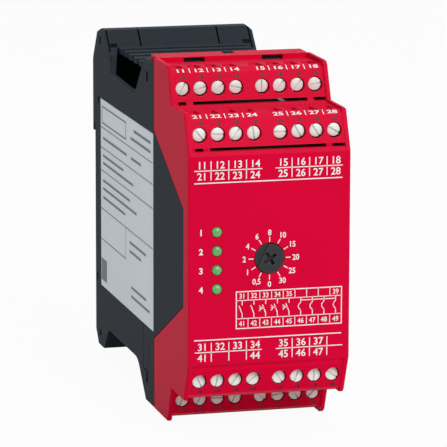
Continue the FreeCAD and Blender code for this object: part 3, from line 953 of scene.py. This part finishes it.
@dataclass
class RearHousing:
    """Dark rear housing: a deep tub with vents, a rail hook and the clip's channel.

    All the slopes lie at 45 degrees. front_slope is depth plus distance from mid-height on the slopes
    that face the front; slope and arch_slope are depth less that distance on those behind. A snap hole
    has a depth, a height and a length. The latch grooves and the label recess have a range of depth and
    a range of height.
    """

    palette: Palette
    hood: FrontHood
    wall: float = 1.6
    rear: float = 111.2
    back: float = 114.0
    hook: Pair = (17.4, 19.7)
    hook_lip: float = 1.4
    vent_level: float = 44.0
    vent_side: float = 18.7
    slope: float = 53.5
    front_slope: float = 97.4
    arch_slope: float = 55.3
    block_top: float = 48.5
    notch: float = 37.2
    notch_front: float = 36.0
    arch: float = 39.3
    arch_radius: float = 7.0
    foot: float = 46.2
    sill: float = 49.1
    bevel: float = 1.2
    seam_place: float = 11.8
    lug_half: float = 2.9
    channel_half: float = 8.3
    channel_mouth_half: float = 5.7
    channel_height: Pair = (-60.0, -9.5)
    slats_start: float = 49.3
    slats_end: float = 98.6
    slat_pitch: float = 6.4
    slat_width: float = 3.2
    snap_holes: tuple[Triple, ...] = (
        (46.4, 43.2, 2.9), (46.9, -42.6, 2.9), (107.2, 27.3, 2.0), (109.2, -26.0, 2.4), (104.6, 45.2, 2.2),
        (105.4, -42.4, 2.0))
    latch_grooves: tuple[tuple[Pair, Pair], ...] = (
        ((50.9, 51.3), (-40.4, -28.0)), ((45.0, 45.4), (-40.4, -32.5)), ((45.0, 51.3), (-40.8, -40.4)))
    label_recess: tuple[Pair, Pair] = ((39.2, 104.1), (-27.7, 28.3))

    @property
    def cover(self) -> float:
        """Level of the walls that lie under the hood."""
        return self.hood.half_height - self.hood.wall

    def rear_corners(self) -> list[tuple[float, ...]]:
        """Returns the corners of hook, rail face and foot, from the top down."""
        low, high = self.hook
        return [
            (107.6, self.block_top, 2.5), (self.back, 38.8, 3.0), (self.back, low), (self.back - self.hook_lip, low),
            (self.back - self.hook_lip, high), (self.rear, high), (self.rear, -42.3), (107.8, -self.foot),
            (100.7, -self.foot),
        ]

    def slope_corners(self) -> list[tuple[float, ...]]:
        """Returns the two corners of the slope that rises to the rear block."""
        return [(level + self.slope, level) for level in (self.vent_level, self.block_top)]

    def arch_corners(self) -> list[tuple[float, ...]]:
        """Returns the two upper corners of the arch below, the front one round."""
        return [(self.arch + self.arch_slope, -self.arch),
                (self.front_slope - self.arch, -self.arch, self.arch_radius)]

    def side_line(self) -> Line:
        """Returns the outline of a side wall with its tongue, notch and arch."""
        tip, end, root = self.hood.tongue_tip, self.hood.rim_end, self.hood.tongue_root
        top = [tip, (end, root), (end, self.cover), (self.front_slope - self.cover, self.cover),
               (self.front_slope - self.notch_front, self.notch_front), (self.notch + self.slope, self.notch),
               self.slope_corners()[1]]
        bottom = [*self.arch_corners(), (48.3, -self.sill), (end, -self.sill), (end, -root), (tip[0], -tip[1])]
        return rounded(top + self.rear_corners() + bottom)

    def tub_line(self) -> Line:
        """Returns the outline of the walls between the side walls.

        It runs along the outside and back along the inside, which passes the hook's lip by.
        """
        front = self.hood.riser + self.hood.wall + 0.1
        behind = self.hood.band_end + 0.2
        top = [(front, self.cover), (behind, self.cover), (behind, self.vent_level), *self.slope_corners()]
        bottom = [*self.arch_corners(), (behind + 2.7, -self.cover), (front, -self.cover)]
        rear = self.rear_corners()
        plain = rear[:2] + [(self.back, self.hook[1])] + rear[5:]
        inside = moved_aside(rounded(top + plain + bottom), self.wall, False)
        return rounded(top + rear + bottom) + inside[::-1]

    def body(self) -> Solid:
        """Returns the tub, side walls and everything moulded on them."""
        form = Solid()
        form.sweep(self.tub_line(), -INNER_WALL - 0.1, INNER_WALL + 0.1)
        for side in (-1, 1):
            form.sweep(self.side_line(), side * INNER_WALL, side * self.hood.half_width)
        guide = ((-9.9, 9.9), (105.2, 109.8), (-43.6, -7.9))
        spring_rest = ((-2.7, 2.7), (106.5, 109.9), (-36.5, -34.2))
        for box in (guide, spring_rest):
            form.block(*box)
        riser, top = self.hood.riser, self.hood.half_height
        for x in (-self.hood.window_place, self.hood.window_place):
            form.ends((x - self.lug_half, x + self.lug_half), (riser + 1.8, riser + 3.9), (46.5, top - 0.35))
        form.ends((-1.5, 1.5), (riser + 4.4, self.hood.band_end), (46.5, top - 0.6))
        return form

    def slats(self) -> Solid:
        """Returns the vents' slats on their two bars, and the slope carried down beside them."""
        form = Solid()
        level, thick = self.vent_level, self.wall
        for index in range(8):
            start = self.slats_start + self.slat_pitch * index
            form.block((-self.vent_side, self.vent_side), (start, min(start + self.slat_width, self.slats_end)),
                       (level - thick, level))
        form.pair((15.4, 16.6), (47.0, self.slats_end), (level - thick - 0.6, level - 0.7))
        for side in (-1, 1):
            rings = []
            for back in (0.0, thick):
                rings.append([(side * x, height + self.slope + back, height) for height, x in (
                    (level + 1.0, self.vent_side), (level + 1.0, INNER_WALL + 0.1),
                    (self.notch, INNER_WALL + 0.1), (self.notch, INNER_WALL - 0.05))])
            form.loft(rings)
        return form

    def cuts(self) -> Solid:
        """Returns the vents, clip channel, snap holes, seams and label recess."""
        cuts = Solid()
        wall = self.hood.half_width
        cuts.block((-INNER_WALL - 0.15, INNER_WALL + 0.15), (self.hood.band_end + 2.0, 97.4), (42.0, 44.6))
        for index in range(5):
            start = 61.8 + self.slat_pitch * index
            cuts.block((-18.5, 18.5), (start, start + self.slat_width), (-40.0, -36.0))
        for half, depth in ((self.channel_half, (107.0, 110.0)), (self.channel_mouth_half, (109.0, self.rear + 1))):
            cuts.block((-half, half), depth, self.channel_height)
        for depth, height, length in self.snap_holes:
            cuts.pair((INNER_WALL - 1, wall + 1), (depth - 0.95, depth + 0.95),
                      (height - length / 2, height + length / 2))
        for depth, height in self.latch_grooves:
            cuts.pair((wall - 0.6, wall + 1), depth, height)
        cuts.block((-wall - 1, 0.15 - wall), *self.label_recess)
        seam = [(96.7, 43.2), (102.1, 48.6), (103.2, 48.6), (103.2, 47.6), (97.8, 42.2)]
        side_seam = [(90.6, 37.1), (102.2, 48.7), (103.0, 47.9), (91.4, 36.3)]
        for side in (-1, 1):
            middle = side * self.seam_place
            cuts.sweep(seam, middle - 0.28, middle + 0.28)
            cuts.sweep(side_seam, side * (INNER_WALL + 0.08), side * (INNER_WALL + 0.62))
            low, inner = self.block_top - self.bevel, wall - self.bevel
            wedge = [(wall, low), (inner, self.block_top), (inner, 51), (wall + 1, 51), (wall + 1, low)]
            cuts.loft([[(side * x, depth, height) for x, height in wedge] for depth in (90.0, 120.0)])
        return cuts

    def build(self) -> None:
        """Carves the housing, adds the slats and sets both in place of the plainer one."""
        for name, mesh in (("moulded_housing", carved("moulded_housing", self.body(), self.cuts())),
                           ("vent_slats", carved("vent_slats", self.slats(), Solid()))):
            thing = piece(name, mesh, self.palette.by_slot["dark_housing"], Body.HOUSING.value)
            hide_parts("base_housing")


# ------------------------------------------------------------------ terminals
@dataclass
class TerminalScrews:
    """Slotted plated screws, one in each hole of the hood."""

    palette: Palette
    head: float = 1.8 * MM
    head_length: float = 1.9 * MM
    shank: float = 1.25 * MM
    shank_length: float = 5.5 * MM
    slot_width: float = 0.45 * MM
    slot_depth: float = 0.7 * MM
    bevel: float = 0.18 * MM
    thread_rings: int = 10
    thread_depth: float = 0.22 * MM
    sides: int = 40
    angles: dict[int, tuple[int, ...]] = field(default_factory=lambda: {
        1: (60, 15, 30, -15, 90, 45, 50, 10),
        2: (-50, -5, 50, -80, 0, -60, -55, -30),
        3: (-65, 78, 52, 35, -55, 68, 88, -35),
        4: (70, 62, 0, 62, -50, 10, -60, 45),
    })

    def pattern(self) -> Mesh:
        """Makes one screw at the origin with a level slot, its thread cut as rings."""
        round_off = 0.05 * MM
        profile = [(0, 0), (self.head - self.bevel, 0), (self.head - round_off, round_off), (self.head, self.bevel),
                   (self.head, self.head_length), (self.shank, self.head_length)]
        for k in range(self.thread_rings):
            depth = self.head_length + self.shank_length * (k + 0.5) / (self.thread_rings + 0.5)
            profile.append((self.shank - (self.thread_depth if k % 2 else 0), depth))
        end = self.head_length + self.shank_length
        profile += [(self.shank - 0.3 * MM, end), (0, end)]
        slot = bmesh.new()
        size = Matrix.Diagonal((6 * MM, 2 * self.slot_depth, self.slot_width, 1))
        bmesh.ops.create_cube(slot, size=1.0, matrix=size)
        return cut_out(turned("screw_pattern", profile, self.sides), meshed("screw_slot", slot))

    def build(self) -> None:
        """Places a copy of the screw in every terminal, turned as its slot stands."""
        pattern = self.pattern()
        for row, angles in self.angles.items():
            for index, angle in enumerate(angles):
                node = f"terminal_screw_{row}_{index + 1}"
                low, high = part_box(node)
                mesh = pattern.copy()
                turn = Matrix.Rotation(math.radians(-angle), 4, "Y")
                centre = Vector(((low.x + high.x) / 2, low.y, (low.z + high.z) / 2))
                mesh.transform(Matrix.Translation(centre) @ turn)
                smoothed(mesh)
                body = f"screw_{row}_{index + 1}"
                thing = piece("plated_" + body, mesh, self.palette.by_slot["screw_metal"], body)
                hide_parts(node)
        bpy.data.meshes.remove(pattern)


@dataclass
class TerminalFiguresAndShade:
    """Printed figures on the slanted strips, and dark red patches beside the screws that paint the shade of small
    recesses.
    """

    palette: Palette
    figure: float = 1.45
    figure_squeeze: float = 1.45
    bar_half: float = 1.05
    half_pitch: float = 2.5
    shade_level: float = 3.25
    # dash and block are the two patches of painted shade at each screw.
    dash: Triple = (-0.6, 0.15, 0.36)
    block: Triple = (0.25, 1.1, 0.5)

    @staticmethod
    def sheet(row: int, depth: float, height: float, slope: Vector) -> Sheet:
        """Returns a sheet on a row's tier.

        Args:
            row: Row of terminals, from the top.
            depth: Depth of its origin behind the panel, in millimetres.
            height: Height of its origin from mid-height, without its sign.
            slope: Direction away from mid-height along the tier.
        """
        side = TIERS[row][1]
        origin = Vector((0, PANEL_Y + depth * MM, MIDDLE_Z + side * height * MM))
        return Sheet(origin, Vector((1, 0, 0)), Vector((0, slope.x, side * slope.y)).normalized() * side)

    def strip(self, row: int) -> Sheet:
        """Returns the slanted strip of a row, with its origin in the strip's middle."""
        tier = TIERS[row][0]
        return self.sheet(row, tier.top[0] + tier.run / 2, tier.top[1] + tier.rise / 2, Vector((tier.run, tier.rise)))

    def face(self, row: int) -> Sheet:
        """Returns the leaning face of a row, with its origin between the screws."""
        tier = TIERS[row][0]
        return self.sheet(row, tier.face, tier.height, Vector((math.sin(TILT), math.cos(TILT))))

    def figures(self, row: int) -> None:
        """Draws the numbers of one upper row and the bars between them."""
        sheet = self.strip(row)
        for index, x in enumerate(POLES_MM):
            sheet.text(str(10 * row + index + 1), x, 0, self.figure, 0.02, self.figure_squeeze)
            if index not in (3, 7):
                bar = x + self.half_pitch
                sheet.stroke(bar, -self.bar_half, bar, self.bar_half, 0.26)
        sheet.lay(f"strip_figures_{row}", self.palette.white_ink)

    def build(self) -> None:
        """Draws the upper rows' figures and every row's patches of painted shade beside the screws."""
        for row in (1, 2, 3, 4):
            if row < 3:
                self.figures(row)
            # Patches of painted shade stand in for small shaded recesses beside each screw.
            marks = self.face(row)
            level = self.shade_level if row < 3 else -self.shade_level
            start, end, thick = self.dash
            left, right, half = self.block
            for x in POLES_MM:
                marks.stroke(x + start, level, x + end, level, thick)
                marks.patch([(x + left, level - half), (x + right, level - half),
                             (x + right, level + half), (x + left, level + half)])
            marks.lay(f"terminal_recess_shade_{row}", self.palette.recess_shade_ink)


# ------------------------------------------------------------------ front panel
@dataclass
class StatusLamps:
    """Four domed green lamps."""

    palette: Palette
    dome: float = 0.85 * MM
    steps: int = 7

    def build(self) -> None:
        """Turns a dome on each light guide."""
        for index in range(1, 5):
            low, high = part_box(f"status_lamp_{index}")
            radius = (high.x - low.x) / 2
            arc = [math.pi / 2 * k / self.steps for k in range(self.steps + 1)]
            profile = [(radius * math.sin(a), low.y + self.dome * (1 - math.cos(a))) for a in arc]
            profile += [(radius, high.y), (0, high.y)]
            mesh = turned("lamp_dome", profile, 36)
            mesh.transform(Matrix.Translation(((low.x + high.x) / 2, 0, (low.z + high.z) / 2)))
            smoothed(mesh, 50)
            lens = self.palette.by_slot["lamp_lens"]
            lamp = piece(f"lamp_dome_{index}", mesh, lens, Body.HOUSING.value)
            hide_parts(f"status_lamp_{index}")


@dataclass
class DialScale:
    """Ticks and seconds round the rotary selector."""

    palette: Palette
    seconds: tuple[str, ...] = ("0", "0,5", "1", "2", "4", "6", "8", "10", "15", "20", "25", "30")
    tick_start: float = 4.5
    tick_end: float = 5.85
    figure_radius: float = 7.05
    figure: float = 1.5
    wide_shift: float = 0.25

    def build(self) -> None:
        """Draws the scale, clockwise from the bottom."""
        sheet = panel_sheet()
        for index, words in enumerate(self.seconds):
            angle = math.radians(-90) - 2 * math.pi * index / len(self.seconds)
            u, v = math.cos(angle), math.sin(angle)
            sheet.stroke(u * self.tick_start, v * self.tick_start, u * self.tick_end, v * self.tick_end, 0.26)
            reach = self.figure_radius + (self.wide_shift if len(words) > 1 else 0.0) * abs(u)
            sheet.text(words, u * reach, v * reach, self.figure, 0.02, 0.9)
        sheet.lay("dial_scale", self.palette.white_ink)


def panel_sheet() -> Sheet:
    """Returns a sheet on the front panel with its origin in the panel's middle."""
    return Sheet(Vector((0, PANEL_Y, MIDDLE_Z)), Vector((1, 0, 0)), Vector((0, 0, 1)))


@dataclass
class PanelPrint:
    """Terminal tables, rules and the contact diagram, printed on the panel."""

    palette: Palette
    edges: Pair = (-20.87, 20.2)
    rules: Pair = (21.15, -21.6)
    upper_table: float = 24.5
    lower_table: float = -24.95
    table_length: float = 18.7
    first_column: float = 2.15
    column_pitch: float = 4.88
    column_half: float = 2.6
    line_level: float = 1.5
    figure: float = 1.95
    line: float = 0.26
    diagram_box: tuple[float, float, float, float] = (-9.2, -18.9, 20.2, -8.8)
    diagram_rules: Pair = (-11.2, -16.2)
    contact_ends: Pair = (-11.2, -16.0)
    lamp_number_place: float = -19.0

    def table(self, sheet: Sheet, level: float, start: float, cells: tuple[tuple[int, ...], tuple[int, ...]]) -> None:
        """Draws a four-column table of two lines with a rule between them.

        Args:
            sheet: Where it is drawn.
            level: Height of the rule.
            start: Left end of the rule.
            cells: Numbers of the upper and the lower line; zero leaves a cell empty.
        """
        sheet.stroke(start, level, start + self.table_length, level, self.line)
        for column in range(4):
            u = start + self.first_column + self.column_pitch * column
            if column:
                bar = u - self.column_pitch / 2
                sheet.stroke(bar, level - self.column_half, bar, level + self.column_half, self.line)
            for side, numbers in zip((1, -1), cells):
                if numbers[column]:
                    sheet.text(str(numbers[column]), u, level + side * self.line_level, self.figure, 0.012)

    def contact(self, sheet: Sheet, u: float, open_end: bool) -> None:
        """Draws one switch contact of the diagram, as a slanted arm or as a curved one."""
        top, bottom = self.contact_ends
        thick = 0.24
        sheet.stroke(u, top, u, top - 1.3, thick)
        if open_end:
            sheet.stroke(u - 0.9, top - 1.4, u, bottom + 1.1, thick)
        else:
            sheet.chain([(u - 0.7 * math.sin(math.pi * k / 5), top - 1.3 - 0.45 * k) for k in range(6)], thick)
        sheet.stroke(u, bottom + 1.1, u, bottom, thick)

    def delayed(self, sheet: Sheet, u: float) -> None:
        """Adds the arms of a delayed contact beside it."""
        level = sum(self.contact_ends) / 2
        for rise in (-0.7, 0.0, 0.7):
            sheet.stroke(u - 1.0, level, u - 1.8, level + rise, 0.2)
        sheet.stroke(u - 1.0, level, u - 0.35, level, 0.2)

    def diagram(self, columns: int = 9) -> None:
        """Draws the framed contact diagram with its columns."""
        sheet = panel_sheet()
        left, bottom, right, top = self.diagram_box
        head, foot = self.diagram_rules
        sheet.frame(left, bottom, right, top)
        for level in self.diagram_rules:
            sheet.stroke(left, level, right, level, 0.2)
        pitch = (right - left) / columns
        for column in range(columns):
            u = left + pitch * (column + 0.5)
            if column:
                edge = left + pitch * column
                sheet.stroke(edge, head, edge, top, 0.2)
                sheet.stroke(edge, bottom, edge, foot, 0.2)
            self.contact(sheet, u, column < 5)
            if 2 <= column < 5:
                self.delayed(sheet, u)
            sheet.text(str(41 + column), u, (bottom + foot) / 2, 1.35, 0.015, 0.9)
            if column < 5 or column == 8:
                sheet.text(str(31 + column), u, (head + top) / 2, 1.35, 0.015, 0.9)
        sheet.stroke(left + pitch * 5.5, head - 0.75, left + pitch * 8.5, head - 0.75, 0.22)
        sheet.lay("contact_diagram", self.palette.white_ink)

    def build(self) -> None:
        """Draws the tables, the rules and the diagram."""
        sheet = panel_sheet()
        for level in self.rules:
            sheet.stroke(self.edges[0], level, self.edges[1], level, 0.3)
        self.table(sheet, self.upper_table, -20.87, ((11, 12, 13, 14), (21, 22, 23, 24)))
        self.table(sheet, self.upper_table, 1.5, ((15, 16, 17, 18), (25, 26, 27, 28)))
        self.table(sheet, self.lower_table, -20.7, ((31, 32, 33, 34), (41, 0, 0, 44)))
        self.table(sheet, self.lower_table, 1.85, ((35, 36, 37, 0), (45, 46, 47, 0)))
        sheet.lay("panel_tables", self.palette.white_ink)
        self.diagram()
        self.lamp_numbers()

    def lamp_numbers(self) -> None:
        """Puts a plain number left of each lamp."""
        sheet = panel_sheet()
        for index in range(1, 5):
            low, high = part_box(f"status_lamp_{index}")
            level = ((low.z + high.z) / 2 - MIDDLE_Z) / MM
            sheet.text(str(index), self.lamp_number_place, level, 1.6, 0.03)
        sheet.lay("lamp_numbers", self.palette.white_ink)


# ------------------------------------------------------------------ rating label
@dataclass
class LabelPrint:
    """Rules, an empty frame and plain bars on the side label, in place of words.

    edge_lines hold level and length of the bars at the front edge; lines hold level, start and length
    of the others, and None starts a bar at the rear edge.
    """

    palette: Palette
    margin: float = 3.0
    rules: tuple[float, ...] = (19.6, 13.6, 6.8, -4.6)
    column: float = -0.8
    short_rule: float = -13.8
    rule_width: float = 0.3
    edge_lines: tuple[Pair, ...] = ((3.0, 20.0), (5.6, 24.0))
    lines: tuple[tuple[float, float | None, float], ...] = (
        (16.6, None, 30), (16.6, 6, 12), (11.4, None, 26), (9.2, None, 38), (4.0, None, 34), (1.6, None, 42),
        (-1.0, None, 28), (-8.0, 4, 20), (-10.6, 4, 14), (-20.8, 6, 18), (-23.4, 6, 22))
    code: tuple[float, float, float, float] = (-31.8, -26.0, -25.0, -19.5)

    def build(self) -> None:
        """Draws the label's print; u runs towards the front of the relay."""
        low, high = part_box("side_label")
        middle = Vector((low.x, (low.y + high.y) / 2, (low.z + high.z) / 2))
        sheet = Sheet(middle, Vector((0, -1, 0)), Vector((0, 0, 1)), 0.04 * MM)
        half, top = (high.y - low.y) / 2 / MM, (high.z - low.z) / 2 / MM
        sheet.frame(-half + 1.9, top - 6.9, -0.4, top - 2.1, 0.45)
        for level in self.rules:
            sheet.stroke(-half + 0.6, level, half - 0.6, level, self.rule_width)
        sheet.stroke(-half + 0.6, self.short_rule, self.column, self.short_rule, self.rule_width)
        sheet.stroke(self.column, -14.2, self.column, -4.7, self.rule_width)
        for drop, length in self.edge_lines:
            end = half - self.margin
            sheet.stroke(end - length, top - drop, end, top - drop, 0.8)
        for level, place, length in self.lines:
            start = self.margin - half if place is None else place
            sheet.stroke(start, level, start + length, level, 0.75)
        left, low_edge, right, high_edge = self.code
        sheet.patch([(left, low_edge), (right, low_edge), (right, high_edge), (left, high_edge)])
        sheet.lay("label_print", self.palette.grey_ink, Finish.LABEL)


# ------------------------------------------------------------------ studio
@dataclass
class Studio:
    """Pale floor, soft lights and the camera.

    glow is the share of the floor that shines plain white to the camera; the rest takes the shadow.
    room_light is the strength that the background lights the relay with. The lamps hold a name, a
    place, a size and a power each.
    """

    azimuth: float = -14.883
    elevation: float = 11.081
    distance: float = 934.928 * MM
    aim: Triple = (-12.806 * MM, -57.0 * MM, 59.572 * MM)
    roll: float = 0.157
    lens: float = 282.50
    floor_colour: Colour = (0.86, 0.86, 0.87, 1)
    floor_half: float = 6.0
    glow: float = 0.95
    room_light: float = 0.25
    lit_point: Triple = (0, -0.03, 0.05)
    lamps: tuple[tuple[str, Triple, float, float], ...] = (
        ("key_lamp", (0.35, -1.1, 0.75), 0.7, 9.0),
        ("side_lamp", (-1.1, -0.45, 0.45), 0.7, 0.75),
        ("top_lamp", (0.0, 0.1, 1.2), 0.8, 4.0),
    )

    def floor(self) -> None:
        """Lays a wide white floor that still takes the shadow."""
        shape = bmesh.new()
        bmesh.ops.create_grid(shape, x_segments=1, y_segments=1, size=self.floor_half)
        mesh = meshed("floor", shape)
        ground = placed("floor", mesh)
        ground.location = (0, 0, CAD_BOX[0].z - 0.2 * MM)
        material = bpy.data.materials.new("pale_floor")
        material.use_nodes = True
        wiring = Wiring(material.node_tree)
        matt = wiring.add("BsdfDiffuse")
        matt.inputs["Color"].default_value = self.floor_colour
        glow = wiring.add("Emission")
        wiring.supply(glow, {"Color": (1, 1, 1, 1), "Strength": 1.0})
        seen = wiring.math("MULTIPLY", self.seen_direct(wiring), self.glow)
        mixed = wiring.add("MixShader")
        for place, start in enumerate((seen, matt.outputs[0], glow.outputs[0])):
            wiring.join(start, mixed.inputs[place])
        wiring.join(mixed.outputs[0], wiring.add("OutputMaterial").inputs["Surface"])
        mesh.materials.append(material)

    @staticmethod
    def seen_direct(wiring: Wiring) -> NodeSocket:
        """Returns 1 for camera, glossy and transmission rays, else 0."""
        path = wiring.add("LightPath")
        glossy = wiring.math("ADD", path.outputs["Is Camera Ray"], path.outputs["Is Glossy Ray"])
        return wiring.math("ADD", glossy, path.outputs["Is Transmission Ray"], clamp=True)

    def sky(self) -> None:
        """Fills the room with soft light and a white background."""
        world = bpy.data.worlds.new("studio")
        bpy.context.scene.world = world
        world.use_nodes = True
        wiring = Wiring(world.node_tree)
        back = wiring.add("Background")
        back.inputs["Color"].default_value = (1, 1, 1, 1)
        strength = wiring.math("MULTIPLY", self.seen_direct(wiring), 1.0 - self.room_light)
        wiring.join(wiring.math("ADD", strength, self.room_light), back.inputs["Strength"])
        wiring.join(back.outputs[0], wiring.add("OutputWorld").inputs["Surface"])

    def lamp(self, name: str, place: Triple, size: float, power: float) -> None:
        """Hangs one square area lamp that looks at the relay."""
        light = bpy.data.lights.new(name, "AREA")
        light.size = size
        light.energy = power
        thing = placed(name, light)
        thing.location = place
        aim = Vector(self.lit_point) - Vector(place)
        thing.rotation_euler = aim.to_track_quat("-Z", "Y").to_euler()

    def camera(self) -> None:
        """Sets the camera at the relay's viewing angle."""
        turn, rise = math.radians(self.azimuth), math.radians(self.elevation)
        back = Vector((math.sin(turn) * math.cos(rise), -math.cos(turn) * math.cos(rise), math.sin(rise)))
        lens = bpy.data.cameras.new("camera")
        lens.lens = self.lens
        lens.sensor_width = 36.0
        lens.clip_start = 0.01
        view = placed("camera", lens)
        view.location = Vector(self.aim) + back * self.distance
        level = (-back).to_track_quat("-Z", "Y").to_matrix().to_4x4()
        tilt = Matrix.Rotation(math.radians(self.roll), 4, "Z")
        view.rotation_euler = (level @ tilt).to_euler()
        bpy.context.scene.camera = view

    def build(self) -> None:
        """Sets up floor, background, lamps and camera."""
        bpy.context.scene.view_settings.view_transform = "Standard"
        self.floor()
        self.sky()
        for lamp in self.lamps:
            self.lamp(*lamp)
        self.camera()


def main() -> None:
    """Dresses the relay from the housing out and sets the studio."""
    logging.basicConfig(level=logging.INFO)
    palette = Palette(ShaderGroups())
    palette.dress_frame()
    hood = FrontHood(palette)
    hood.build()
    RearHousing(palette, hood).build()
    TerminalScrews(palette).build()
    TerminalFiguresAndShade(palette).build()
    StatusLamps(palette).build()
    DialScale(palette).build()
    PanelPrint(palette).build()
    LabelPrint(palette).build()
    Studio().build()


if __name__ == "__main__":
    main()
